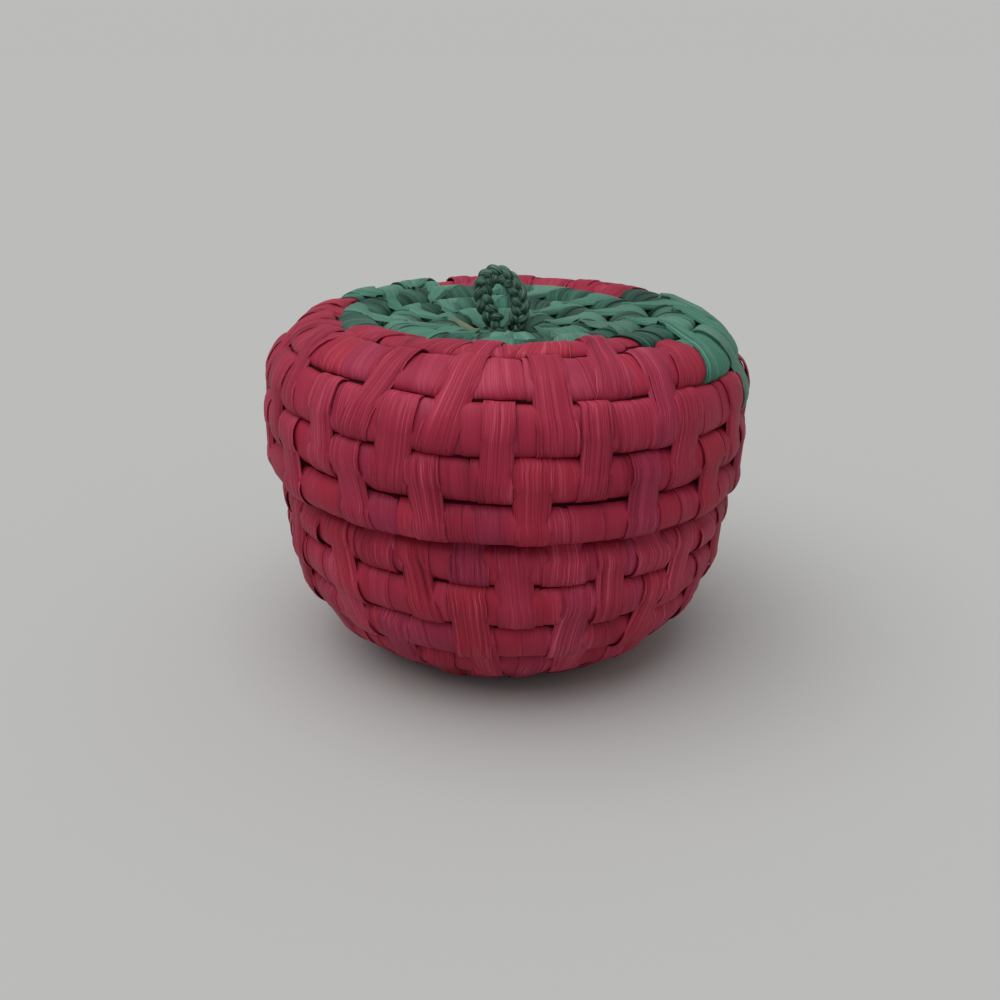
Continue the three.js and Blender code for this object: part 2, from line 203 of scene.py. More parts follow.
def finished(bm, name, material, crease):
    """A named object of a finished mesh, smooth but for edges sharper than the crease."""
    mesh = bpy.data.meshes.new(name)
    bm.to_mesh(mesh)
    bm.free()
    mesh.materials.append(material)
    mesh.shade_smooth()
    mesh.set_sharp_from_angle(angle=math.radians(crease))
    piece = bpy.data.objects.new(name, mesh)
    bpy.context.scene.collection.objects.link(piece)
    return piece


class Shade:
    """A shader socket that takes part in plain arithmetic."""

    def __init__(self, tree, socket=None):
        self.tree = tree
        self.socket = socket

    def node(self, kind, settings=None, inputs=None, output=0):
        node = self.tree.nodes.new("ShaderNode" + kind)
        for name, value in (settings or {}).items():
            setattr(node, name, value)
        for name, value in (inputs or {}).items():
            if isinstance(value, Shade):
                self.tree.links.new(value.socket, node.inputs[name])
            else:
                node.inputs[name].default_value = value
        return Shade(self.tree, node.outputs[output])

    def math(self, operation, *values):
        return self.node("Math", {"operation": operation}, dict(enumerate(values)))

    def __add__(self, other):
        return self.math("ADD", self, other)

    def __sub__(self, other):
        return self.math("SUBTRACT", self, other)

    def __rsub__(self, other):
        return self.math("SUBTRACT", other, self)

    def __mul__(self, other):
        return self.math("MULTIPLY", self, other)

    __radd__ = __add__
    __rmul__ = __mul__

    def rise(self, low, high):
        """0 below low, 1 above high and a smooth rise between them."""
        settings = {"interpolation_type": "SMOOTHSTEP", "clamp": True}
        return self.node("MapRange", settings, {"Value": self, "From Min": low, "From Max": high})

    def mixed(self, first, second):
        """The first colour where this is 0, and the second where it is 1."""
        colours = [(*c, 1) if isinstance(c, tuple) else c for c in (first, second)]
        inputs = {0: self, 6: colours[0], 7: colours[1]}
        return self.node("Mix", {"data_type": "RGBA"}, inputs, output=2)

    def relief(self, strength, distance):
        """The normal of a surface that has this as its height."""
        return self.node("Bump", inputs={"Strength": strength, "Distance": distance, "Height": self})

    def feed(self, socket):
        self.tree.links.new(self.socket, socket)


def material_of(name, roughness, specular):
    """A new material, its shader's sockets and an unconnected Shade in its tree."""
    material = bpy.data.materials.new(name)
    material.use_nodes = True
    shader = material.node_tree.nodes["Principled BSDF"]
    shader.inputs["Roughness"].default_value = roughness
    shader.inputs["Specular IOR Level"].default_value = specular
    return material, shader.inputs, Shade(material.node_tree)


def dry_straw(name, colour):
    """Dry straw, coloured a dark tone of its wrapping as painted shade for the seams where it shows, and
    mottled.
    """
    material, sockets, shade = material_of(name, roughness=0.9, specular=0.1)
    place = shade.node("TexCoord", output="Object")
    mottle = shade.node("TexNoise", inputs={"Vector": place, "Scale": STRAW_MOTTLE, "Detail": 3})
    paler = tuple(STRAW_PALER * part for part in colour)
    mottle.mixed(colour, paler).feed(sockets["Base Color"])
    mottle.relief(strength=0.4, distance=0.0002).feed(sockets["Normal"])
    return material


def straw_bundle(coil, name, body, start, end, material):
    """The bundle of a coil from one angle to another."""
    bm = bmesh.new()
    steps = round((end - start) / TURN * STRAW_STEPS_PER_TURN)

    def place(around, along):
        angle = start + (end - start) * along
        return coil.place(angle, TURN * around, STRAW_SINK, STRAW_HALF_HEIGHT)

    tube(bm, STRAW_SIDES, steps, place)
    keep_above(bm, TABLE_GAP)
    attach(finished(bm, name, material, STRAW_CREASE), body)


red_straw = dry_straw("straw_under_red_painted_shade", STRAW_PAINTED_SHADE_COLOUR)
straw_bundle(bowl_coil, "bowl_straw", "bowl", 0, bowl_coil.end, red_straw)


# Palm-leaf strips of the bowl. Dyed strips of dried palm leaf are wrapped round the straw side by side.
# Every so often one takes a long stitch, round the row before as well, and that binds the two rows.

STRIP_WIDTH = 0.0058
STRIP_THICKNESS = 0.00025
ACROSS = 6
CREASE = 40
RIDGE = 0.00008
CURL = 0.00032
CURL_SHARPNESS = 3
MOST_UPWARD_CURL = 0.1
LAYERS = ("tint", "hue", "grain", "edge", "bare")
MAP_SCALE = 100
MAP_SPREAD = 50

# The undyed spot of a strip, as a place and a spread along it
BARE_PLACE = 0.34
BARE_SPREAD = 0.05

WRAP_WIDTHS = (0.75, 1.2)
WRAP_OVERLAP = 1.15
WRAP_LIFT = 0.00015
WRAP_TILT = 0.0002
WRAP_RELIEF = 0.5
WRAP_GRAIN = (0.15, 0.7)
WRAP_SLANT = (0.1, 0.7)

STITCH_WIDTH = 0.0064
STITCH_WIDTHS = (0.88, 1.1)
STITCH_SPACING = 0.0182
STITCH_GRAIN = (0.75, 1)
STITCH_TAPER = 0.1
STITCH_LEAN = 9
OWN_LIFT = 0.00055
BEFORE_LIFT = 0.0008
WANDER = 0.0003
WANDER_PACE = 0.3

# How far the sides of a stitch are pulled into the seam, by the turn
SEAM_TUCK = {-12: 0.0003, -20: 0.0008, 20: 0.0008, 12: 0.0003}
TUCK_SHARPNESS = 5

# Turns at which a strip bends, close together at the corners of a row
CORNER = (0, 14, 26, 35, 42, 48, 55, 64, 76)
ONCE_ROUND = [90 * side + turn - 90 for side in range(4) for turn in CORNER] + [270]

# The way of a long stitch: each point is a row, 0 for its own and 1 for the row before, and a turn
STITCH_WAY = (
    [(0, turn) for turn in (96, 84, 72, 62, 54, 48, 42, 35, 26, 14, 0, -12, -20)]
    + [(1, turn) for turn in (20, 12, 0, -14, -26, -35, -42, -48, -54, -62, -72, -84, -96)]
    + [(1, turn) for turn in (-108, -118, -126, -132, -138, -145, -155, -180)]
    + [(0, turn) for turn in (-180, -205, -215, -222, -228, -235, -245, -264)]
)

# The straw that a long stitch presses into the seam under it: a row, a turn and a lift for each corner
SEAM_CORNERS = ((0, -20, 0.0001), (1, 20, 0.00035), (1, 62, STRAW_SINK), (0, -62, STRAW_SINK))
SEAM_STRAW_SHARE = 0.75
SEAM_STRAW_STEPS = 3

RED_SHADES = ((0.14, 0.0065, 0.0165), (0.355, 0.0235, 0.0565), (0.63, 0.096, 0.162))
RED_TINGES = ((0.37, 0.0190, 0.0395), (0.295, 0.0260, 0.0690))
UNDYED = (0.34, 0.24, 0.13)

# Fibres, hairs and streaks of a leaf: how fine they are across and along it, and their detail
FIBRES = (34, 0.7, 2)
HAIRS = (85, 1.8, 1)
STREAKS = (6, 0.5, 2)
CLOUDS = 60

# How much each part of a leaf's look makes it lighter or darker
LINE_WEIGHT = 1.7
FIBRE_SHARE = 0.65
HAIR_SHARE = 0.35
STREAK_WEIGHT = 0.35
CLOUD_WEIGHT = 0.55
TINT_WEIGHT = 0.08
# Painted shade: a strip darkens toward its long sides, where shade falls between strips
EDGE_PAINTED_SHADE = 0.12
STREAK_RELIEF = 0.4
LEAST_ROUGHNESS = 0.42
FIBRE_ROUGHNESS = 0.2

# Where the tinges, the light shade and the dark shade of a leaf begin, and where they are full
TINGE_RISE = (0.1, 1.5)
LIGHT_RISE = (0.0, 0.5)
DARK_RISE = (0.02, 0.5)


class Strip:
    """A strip of palm leaf: where it lies on a coil, how wide it is and how it looks."""

    def __init__(self, coil, angle, width, grain, rng):
        self.coil = coil
        self.angle = angle
        self.width = width
        self.grain = grain
        self.tint = rng.uniform(-1, 1)
        self.hue = rng.uniform(-1, 1)
        self.bare = 0
        self.raised = 0
        self.ridges = [rng.uniform(-RIDGE, RIDGE) for _ in range(ACROSS + 1)]
        self.curl = rng.uniform(-1, MOST_UPWARD_CURL) * CURL
        self.offset = Vector((rng.uniform(0, MAP_SPREAD), rng.uniform(0, MAP_SPREAD)))

    def surface(self, across):
        """How far the leaf stands up from flat: its ridges, and its curled sides."""
        ridge = self.ridges[round((across + 0.5) * ACROSS)]
        return ridge + self.curl * abs(2 * across) ** CURL_SHARPNESS

    def add_to(self, bm):
        """Adds the strip as a sheet, with its fibres along the map and its look in layers."""
        last = len(self.way) - 1
        made = bmesh.ops.create_grid(bm, x_segments=ACROSS, y_segments=last, size=0.5)
        length = len(self.way) / len(ONCE_ROUND) * 4 * (HALF_DEPTH + HALF_HEIGHT)
        uv = bm.loops.layers.uv["UVMap"]
        layers = [bm.verts.layers.float.get(name) for name in LAYERS]
        faces = {face for vert in made["verts"] for face in vert.link_faces}
        for face in faces:
            for loop in face.loops:
                spot = Vector((loop.vert.co.x * self.width, loop.vert.co.y * length))
                loop[uv].uv = spot * MAP_SCALE + self.offset
        for vert in made["verts"]:
            across, along = vert.co.x, vert.co.y + 0.5
            bare = self.bare * math.exp(-(((along - BARE_PLACE) / BARE_SPREAD) ** 2))
            looks = (self.tint, self.hue, self.grain, abs(2 * across), bare)
            for layer, value in zip(layers, looks):
                vert[layer] = value
            vert.co = self.point(across, round(along * last))
        if self.coil.sense * self.coil.way * self.wound < 0:
            bmesh.ops.reverse_faces(bm, faces=list(faces))


class Wrap(Strip):
    """A strip wrapped once round its row, with one side under the strip next to it."""

    way = ONCE_ROUND
    wound = 1

    def __init__(self, coil, angle, width, rng):
        super().__init__(coil, angle, width, rng.uniform(*WRAP_GRAIN), rng)
        self.slant = rng.uniform(*WRAP_SLANT)

    def point(self, across, step):
        share = step / (len(self.way) - 1)
        slide = across * self.width * WRAP_OVERLAP + self.slant * (share - 0.5) * self.width
        lift = WRAP_LIFT + self.raised - WRAP_TILT * across + WRAP_RELIEF * self.surface(across)
        angle = self.angle + slide / self.coil.reach(self.angle)
        return self.coil.place(angle, math.radians(self.way[step]), lift)


class Stitch(Strip):
    """A long stitch round its row and the row before. A lean above 0 goes along the coil with the rows."""

    way = STITCH_WAY
    wound = -1

    def __init__(self, coil, angle, width, lean, rng):
        super().__init__(coil, angle, width, rng.uniform(*STITCH_GRAIN), rng)
        self.lean = lean
        self.taper = rng.uniform(-STITCH_TAPER, STITCH_TAPER)

    def lift(self, step):
        return self.raised + (BEFORE_LIFT if self.way[step][0] else OWN_LIFT)

    def share(self, step):
        """The share of the full width that is left at a step."""
        return 1 + self.taper * (self.way[step][0] - 0.5)

    def outward(self, back, turn):
        """How far a turn on either row lies from the seam between them, toward the row's own side."""
        sin = math.sin(math.radians(turn))
        return HALF_HEIGHT * math.copysign(abs(sin) ** SQUARENESS, sin) + ROW_PITCH * (0.5 - back)

    def place(self, slide, back, turn, lift):
        """The point on either row that lies a slide to the side of the leaning stitch's middle."""
        slide += math.tan(self.lean) * self.outward(back, turn)
        angle = self.angle - back * TURN + slide / self.coil.reach(self.angle)
        return self.coil.place(angle, math.radians(turn), lift)

    def point(self, across, step):
        back, turn = self.way[step]
        wander = WANDER * noise.noise(Vector((*self.offset, WANDER_PACE * step)))
        slide = across * self.width * self.share(step) + wander
        tuck = SEAM_TUCK.get(turn, 0) * abs(2 * across) ** TUCK_SHARPNESS
        return self.place(slide, back, turn, self.lift(step) + self.surface(across) - tuck)

    def seam_straw(self, around, along):
        """A point on the straw in the seam under the stitch."""
        back, turn, lift = SEAM_CORNERS[round(around * len(SEAM_CORNERS)) % len(SEAM_CORNERS)]
        return self.place((along - 0.5) * self.width * SEAM_STRAW_SHARE, back, turn, lift)


def strip_piece(node, body, strips, leaf):
    """One piece of strips that stands for a node of the coil."""
    bm = bmesh.new()
    bm.loops.layers.uv.new("UVMap")
    for layer in LAYERS:
        bm.verts.layers.float.new(layer)
    for strip in strips:
        strip.add_to(bm)
    keep_above(bm, STRIP_THICKNESS)
    bmesh.ops.solidify(bm, geom=bm.faces[:], thickness=STRIP_THICKNESS)
    keep_above(bm, 0)
    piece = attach(finished(bm, node + "_strips", leaf, CREASE), body)
    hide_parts(node)


def seam_straw_piece(name, body, stitches):
    """The straw in the seams under long stitches, dark as painted shade under them."""
    bm = bmesh.new()
    for stitch in stitches:
        tube(bm, len(SEAM_CORNERS), SEAM_STRAW_STEPS, stitch.seam_straw)
    keep_above(bm, TABLE_GAP)
    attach(finished(bm, name, red_straw, STRAW_CREASE), body)


def wraps_between(coil, start, end, rng):
    """Wraps side by side along a row, from one angle to another."""
    count = max(round((end - start) * coil.reach((start + end) / 2) / STRIP_WIDTH), 1)
    parts = [rng.uniform(*WRAP_WIDTHS) for _ in range(count)]
    wraps = []
    angle = start
    for part in parts:
        step = (end - start) * part / sum(parts)
        wraps.append(Wrap(coil, angle + step / 2, step * coil.reach(angle), rng))
        angle += step
    return wraps


def stitch_places(coil, row, seen):
    """Bearings and leans of a row's long stitches: those seen in front, then even ones to the back."""
    start, end = coil.row_ends(row)
    around = TURN * (coil.middle((start + end) / 2)[0] + HALF_DEPTH)
    step = TURN / round(around / STITCH_SPACING)
    if not seen:
        shift = 0.25 + (row % 2) / 2
        return [(BACK + (i + shift) * step, None) for i in range(round(TURN / step))]
    known = [(FRONT + math.radians(side), lean) for side, lean in seen]
    first, last = known[0][0], known[-1][0]
    room = first + TURN - last
    count = round(room / step)
    return known + [(last + room * i / count, None) for i in range(1, count)]


def width_and_lean(lean, rng):
    """The width of a long stitch, and a lean of its own where none was seen."""
    lean = rng.uniform(-STITCH_LEAN, STITCH_LEAN) if lean is None else lean
    return STITCH_WIDTH * rng.uniform(*STITCH_WIDTHS), math.radians(lean)


def row_stitches(coil, row, places, rng):
    """The long stitches of a row. The first turn and the thin end of a coil have none."""
    stitches = []
    for bearing, lean in places:
        width, lean = width_and_lean(lean, rng)
        angle = coil.angle_at(bearing, row)
        if TURN < angle < coil.end - TIP_LENGTH / 2:
            stitches.append(Stitch(coil, angle, width, lean, rng))
    return stitches


def palm_leaf(name, shades, tinges):
    """Dyed dried palm leaf: fibres along the strip, a colour that varies by strip and by place, and
    painted shade toward the strip's sides.
    """
    dark, base, light = shades
    material, sockets, shade = material_of(name, roughness=0.55, specular=0.14)
    uv = shade.node("UVMap", {"uv_map": "UVMap"})
    tint, hue, grain, edge, bare = (
        shade.node("Attribute", {"attribute_name": layer}, output="Fac") for layer in LAYERS
    )

    def along_strip(across_scale, along_scale, detail):
        stretch = {"Vector": uv, "Scale": (across_scale, along_scale, 1)}
        vector = shade.node("Mapping", inputs=stretch)
        look = {"Vector": vector, "Scale": 1, "Detail": detail, "Roughness": 0.6}
        return shade.node("TexNoise", {"noise_dimensions": "2D"}, look)

    fibre = along_strip(*FIBRES)
    hair = along_strip(*HAIRS)
    streak = along_strip(*STREAKS)
    place = shade.node("TexCoord", output="Object")
    cloud = shade.node("TexNoise", inputs={"Vector": place, "Scale": CLOUDS, "Detail": 2})

    warm = hue.rise(*TINGE_RISE).mixed(base, tinges[0])
    tinged = (0 - hue).rise(*TINGE_RISE).mixed(warm, tinges[1])
    lines = (FIBRE_SHARE * fibre + HAIR_SHARE * hair - 0.5) * grain
    by_place = STREAK_WEIGHT * (streak - 0.5) + CLOUD_WEIGHT * (cloud - 0.5)
    look = lines * LINE_WEIGHT + by_place + TINT_WEIGHT * tint
    lit = look.rise(*LIGHT_RISE).mixed(tinged, light)
    # The dark shade also takes painted shade toward the strip's long sides
    shaded = (0 - look + EDGE_PAINTED_SHADE * edge * edge).rise(*DARK_RISE)
    dyed = shaded.mixed(lit, dark)
    bare.mixed(dyed, UNDYED).feed(sockets["Base Color"])
    (LEAST_ROUGHNESS + FIBRE_ROUGHNESS * fibre).feed(sockets["Roughness"])
    height = lines + STREAK_RELIEF * streak
    height.relief(strength=0.6, distance=0.0003).feed(sockets["Normal"])
    return material


red_leaf = palm_leaf("red_palm_leaf", RED_SHADES, RED_TINGES)

# Long stitches as they stand on the bowl's front: degrees to the right of the front, and lean going down
BOWL_STITCHES = {
    8: [(-41.8, 12), (-20.7, 12), (1.8, 4), (24.3, 0), (45.8, -12)],
    7: [(-42.6, 12), (-8.6, 3), (16, -6), (36.5, -10)],
}

bowl_rng = random.Random(7)
bowl_stitches = []
for row in range(1, bowl_coil.rows + 1):
    places = stitch_places(bowl_coil, row, BOWL_STITCHES.get(row))
    wraps = wraps_between(bowl_coil, *bowl_coil.row_ends(row), bowl_rng)
    stitches = row_stitches(bowl_coil, row, places, bowl_rng)
    strip_piece(f"bowl_row_{row}", "bowl", wraps + stitches, red_leaf)
    bowl_stitches += stitches
seam_straw_piece("bowl_seam_straw", "bowl", bowl_stitches)


# Lip of the bowl. One more row, sewn to the inner side of the shoulder, leans in over the opening and
# keeps the lid in place.

LIP_LEAN = math.radians(53)
LIP_STITCHES = [(-31, 0), (-9, 2), (13, 0), (35, 2)]


class Lip(Coil):
    """The lip stands on the bowl's last row. Its row before is that row."""

    def __init__(self, coil):
        vars(self).update(vars(coil))
        self.bowl = coil
        self.from_angle = coil.end - TURN

    def size(self, angle):
        from_start = min(max((angle - self.from_angle) / TIP_LENGTH, 0), 1)
        thin = TIP_RADIUS / ROLL_RADIUS
        return min(super().size(angle), thin + (1 - thin) * from_start)

    def middle(self, angle):
        """It lies close on that row, also where the row thins out toward its end."""
        radius, height, heading = super().middle(angle)
        thinned = (1 - self.bowl.size(angle)) * ROLL_RADIUS
        away = ROW_PITCH - thinned
        radius -= thinned * math.cos(heading) + away * math.cos(LIP_LEAN)
        height += away * math.sin(LIP_LEAN) - thinned * math.sin(heading)
        return radius, height, math.pi - LIP_LEAN

    def place(self, angle, turn, lift, half_height=HALF_HEIGHT):
        """Angles well before its start are those of the bowl's last row, a turn further on."""
        if angle < self.from_angle - TIP_LENGTH:
            return self.bowl.place(angle + TURN, turn, lift, half_height)
        return super().place(angle, turn, lift, half_height)


lip_coil = Lip(bowl_coil)
lip_start = lip_coil.from_angle
straw_bundle(lip_coil, "lip_straw", "bowl", lip_start, lip_coil.end, red_straw)
lip_rng = random.Random(5)
lip_places = stitch_places(bowl_coil, bowl_coil.rows, LIP_STITCHES)
lip_wraps = wraps_between(lip_coil, lip_start, lip_coil.end, lip_rng)
lip_stitches = [
    stitch
    for stitch in row_stitches(lip_coil, bowl_coil.rows, lip_places, lip_rng)
    if lip_start + TIP_LENGTH < stitch.angle < lip_coil.end - TIP_LENGTH
]
strip_piece("bowl_lip", "bowl", lip_wraps + lip_stitches, red_leaf)
seam_straw_piece("lip_seam_straw", "bowl", lip_stitches)


# Straw bundle and strips of the lid. The lid is wound from the eye in the middle of its dished top, over
# the shoulder and down the wall to the edge. Its top is green like a calyx, with sepals over the shoulder.

lid_coil = Coil(
    height=0.0640066,
    slope=6.8,
    wall_radius=0.0458,
    curve_radius=0.012,
    rising=False,
    turns=8.2,
    eye_radius=0.0018,
    sense=1,
)

# Painted shade: the straw under green is a very dark green, so that it stands for the shade in the seams
# and gaps of the green rows
GREEN_STRAW_PAINTED_SHADE_COLOUR = (0.009, 0.022, 0.016)
GREEN_SHADES = ((0.010, 0.034, 0.025), (0.066, 0.200, 0.142), (0.165, 0.335, 0.250))
GREEN_TINGES = ((0.038, 0.185, 0.125), (0.105, 0.215, 0.162))
green_straw = dry_straw("straw_under_green_painted_shade", GREEN_STRAW_PAINTED_SHADE_COLOUR)
green_leaf = palm_leaf("green_palm_leaf", GREEN_SHADES, GREEN_TINGES)

GREEN_ROWS = 3
SEPAL_ROW = 5
GREEN_WRAP_LIFT = 0.00015
# Painted shade: the green wraps below the sepals' row are darkened, so that the gaps between the leaves
# over them look shaded
GREEN_WRAP_PAINTED_SHADE = -3.3
RED_END_LIFT = -0.0003

# One green wrap of its own among the red ones of the sepals' row, at this bearing
LONE_GREEN_WRAP = math.radians(179)

# Leaves of the green rows, by row: how many, how far round they start, and how they lean on the left
LEAF_COUNTS = {1: 6, 2: 8, 3: 11, 4: 12, 5: 16}
LEAF_SHIFTS = {1: 0.5, 2: 0.07, 3: 0.52, 4: 0.36, 5: 0.7}
LEAF_LEANS = {1: -5, 2: -30, 3: -42, 4: -52, 5: -45}
LEAF_LEAN_MIDDLE = 0.65
LEAF_LEAN_SWING = 0.35
LEAF_LEAN_UNEVEN = 6
LEAF_WIDTH = 0.0104
LEAF_WIDTHS = (0.85, 1.1)
LEAF_LENGTH = 0.0135
LEAF_TIP = 0.12
LEAF_SINK = -0.0006
LEAF_UNDERSIDE = -100
LEAF_TINT = 0.9
SEPAL_LEAF_LIFT = 0.0005
RED_LEAF_LENGTH = 0.0112
RED_LEAF_WIDTH = 0.0112
RED_LEAF_TIP = 0.5

# A pale and an undyed leaf by the eye: a row, and a number on it
PALE_LEAF = (2, 4)
PALE_LEAF_TINT = 3.5
BARE_LEAF = (2, 2)
BARE_LEAF_SHARE = 0.8

# Rows that change colour on their way round. Each stretch: a node, whether it is green, and where it ends
ROW_START = 90
ROW_END = 450
TWO_COLOUR_ROWS = {
    4: [
        ("lid_row_4_1", True, 219),
        ("lid_row_4_2", False, 313),
        ("lid_row_4_3", True, 400),
        ("lid_row_4_4", False, ROW_END),
    ],
    5: [
        ("lid_row_5_1", False, 118),
        ("sepal_left", True, 158),
        ("lid_row_5_2", False, 325),
        ("sepal_right", True, 390),
        ("lid_row_5_3", False, ROW_END),
    ],
}

# Long stitches as they stand on the lid, as on the bowl
LID_STITCHES = {
    4: [(131, 12), (146, 8), (160, 0), (175, -8)],
    5: [(-92, -34), (-73, -34), (-57, -36), (-8, -20), (27, -16)],
    6: [(-59.5, 15), (-30.3, -20), (-11.5, -19), (9.9, 3), (36.5, -4), (73, 4)],
    7: [(-43.3, 0), (-24, -8), (-2, -3), (18.3, -2), (41.3, -5)],
    8: [(-34.5, 9), (-16.8, 7), (5.2, 0), (29.9, -2), (50.8, 0)],
}


class LeafStitch(Stitch):
    """A broad stitch like a leaf. Its pointed tip goes into the middle of the row before."""

    length = LEAF_LENGTH
    point_width = LEAF_TIP

    def tip(self, step):
        """How far a step is along the leaf: 0 at its broad end, and 1 or more from its point on."""
        back, turn = self.way[step]
        return (ROW_PITCH - self.outward(back, turn)) / self.length if turn > LEAF_UNDERSIDE else 0

    def lift(self, step):
        return LEAF_SINK if self.tip(step) > 1 else super().lift(step)

    def share(self, step):
        return super().share(step) * (1 - (1 - self.point_width) * min(max(self.tip(step), 0), 1))


lid_rng = random.Random(11)

# The strips of the lid, by their node and whether it is green
lid_strips = {}


def leaf_lean(row, bearing):
    """The leaves of a row lean most on the left, and least on the right."""
    share = LEAF_LEAN_MIDDLE - LEAF_LEAN_SWING * math.cos(bearing)
    return LEAF_LEANS[row] * share + lid_rng.uniform(-LEAF_LEAN_UNEVEN, LEAF_LEAN_UNEVEN)


def stretches(row):
    """The stretches of one colour that a row has: a node, whether it is green, and its two bearings."""
    if row not in TWO_COLOUR_ROWS:
        return [(f"lid_row_{row}", row <= GREEN_ROWS, ROW_START, ROW_END)]
    starts = [ROW_START] + [end for _, _, end in TWO_COLOUR_ROWS[row]]
    return [(node, green, start, end) for start, (node, green, end) in zip(starts, TWO_COLOUR_ROWS[row])]


def lid_node(row, bearing):
    """The node that a strip stands for, and whether it is green."""
    along = math.degrees(bearing - BACK) % 360 + ROW_START
    return next((node, green) for node, green, _, end in stretches(row) if along < end)


def add_wraps(row):
    """Adds the straw and the wraps of a row, one stretch of colour at a time, with the green wraps under
    the leaves darkened as painted shade.
    """
    lone_wrap = lid_coil.angle_at(LONE_GREEN_WRAP, SEPAL_ROW)
    for node, green, start, end in stretches(row):
        straw = green_straw if green else red_straw
        turn_start = max(lid_coil.row_start(row) + math.radians(start - ROW_START), 0)
        turn_end = lid_coil.row_start(row) + math.radians(end - ROW_START)
        straw_bundle(lid_coil, node + "_straw", "lid", turn_start, turn_end, straw)
        wraps = wraps_between(lid_coil, turn_start, turn_end, lid_rng)
        if row in TWO_COLOUR_ROWS and not green:
            wraps[0].raised = wraps[-1].raised = RED_END_LIFT
        for wrap in wraps:
            key = (node, green)
            if green:
                wrap.raised = GREEN_WRAP_LIFT
            # Green wraps under the leaves are darkened as painted shade
            if green and row < SEPAL_ROW:
                wrap.tint += GREEN_WRAP_PAINTED_SHADE
            from_lone_wrap = abs(wrap.angle - lone_wrap) * lid_coil.reach(lone_wrap)
            if row == SEPAL_ROW and from_lone_wrap < STRIP_WIDTH / 2:
                key = ("lid_row_4_1", True)
            lid_strips.setdefault(key, []).append(wrap)


def add_red_stitches(row):
    """Adds the long stitches of a row's red stretches. Those over a sepal are green."""
    for bearing, lean in stitch_places(lid_coil, row, LID_STITCHES.get(row)):
        node, green = lid_node(row, bearing)
        angle = lid_coil.angle_at(bearing, row)
        if green or angle < TURN or angle > lid_coil.end - TIP_LENGTH / 2:
            continue
        node_before, green_before = lid_node(row - 1, bearing)
        if green_before and row <= SEPAL_ROW:
            lean = leaf_lean(row, bearing) if lean is None else lean
            stitch = LeafStitch(lid_coil, angle, RED_LEAF_WIDTH, math.radians(lean), lid_rng)
            stitch.length = RED_LEAF_LENGTH
            stitch.point_width = RED_LEAF_TIP
        else:
            width, lean = width_and_lean(lean, lid_rng)
            stitch = Stitch(lid_coil, angle, width, lean, lid_rng)
        key = (node_before, green_before) if node_before.startswith("sepal") else (node, green)
        lid_strips[key].append(stitch)


def add_leaves(row):
    """Adds the leaf-shaped stitches of a row's green stretches."""
    for i in range(LEAF_COUNTS.get(row, 0)):
        bearing = BACK + TURN * (i + LEAF_SHIFTS[row]) / LEAF_COUNTS[row]
        node, green = lid_node(row, bearing)
        angle = lid_coil.angle_at(bearing, row)
        if not green or angle <= TURN:
            continue
        width = LEAF_WIDTH * lid_rng.uniform(*LEAF_WIDTHS)
        leaf = LeafStitch(lid_coil, angle, width, math.radians(leaf_lean(row, bearing)), lid_rng)
        leaf.tint += LEAF_TINT
        if row == SEPAL_ROW:
            leaf.raised = SEPAL_LEAF_LIFT
        if (row, i) == PALE_LEAF:
            leaf.tint = PALE_LEAF_TINT
            leaf.lean = 0
        if (row, i) == BARE_LEAF:
            leaf.bare = BARE_LEAF_SHARE
        lid_strips[node, green].append(leaf)


for row in range(1, lid_coil.rows + 1):
    add_wraps(row)
    add_red_stitches(row)
    add_leaves(row)

for (node, green), strips in lid_strips.items():
    strip_piece(node, "lid", strips, green_leaf if green else red_leaf)
lid_stitches = [strip for strips in lid_strips.values() for strip in strips if type(strip) is Stitch]
seam_straw_piece("lid_seam_straw", "lid", lid_stitches)


# Knot under the lid. The ends of the loop are twisted strips of dark green leaf. They go down through the
# eye and are tied in a tight knot, so that the loop can't be pulled out.

KNOT_HEIGHT = 0.0566
KNOT_SPREAD = 0.0009
KNOT_DEPTH = 1.4
KNOT_STRAND = 0.00125
KNOT_SIDES = 12
KNOT_STEPS = 120
KNOT_CREASE = 50
NECK_RADIUS = 0.00085
NECK_STEPS = 24
NECK_ROUNDING = 0.9
NECK_SHARPNESS = 6
EYE_TOP = 0.0683
NEARBY = 1e-3

BRAID_DARK = (0.026, 0.062, 0.048)
BRAID_LIGHT = (0.125, 0.262, 0.200)
BRAID_FIBRES = (16, 24, 1)
BRAID_RISE = (0.3, 0.75)


def round_line(line, share, turn, half_width, half_depth):
    """A point on the skin of a strand along a line. The broad sides of the strand face along Y."""
    ahead, behind = line(min(share + NEARBY, 1)), line(max(share - NEARBY, 0))
    along = (ahead - behind).normalized()
    broad = along.cross(Vector((0, 1, 0))).normalized()
    deep = broad.cross(along)
    return line(share) + half_width * math.cos(turn) * broad + half_depth * math.sin(turn) * deep


def twisted_leaf(name, dark, light):
    """Dyed leaf twisted into a strand: fibres along it, dark between them."""
    material, sockets, shade = material_of(name, roughness=0.6, specular=0.25)
    uv = shade.node("UVMap", {"uv_map": "UVMap"})
    vector = shade.node("Mapping", inputs={"Vector": uv, "Scale": BRAID_FIBRES})
    look = {"Vector": vector, "Scale": 1, "Detail": 2}
    fibre = shade.node("TexNoise", {"noise_dimensions": "2D"}, look)
    fibre.rise(*BRAID_RISE).mixed(dark, light).feed(sockets["Base Color"])
    fibre.relief(strength=0.7, distance=0.0002).feed(sockets["Normal"])
    return material


braid_leaf = twisted_leaf("dark_green_braid", BRAID_DARK, BRAID_LIGHT)


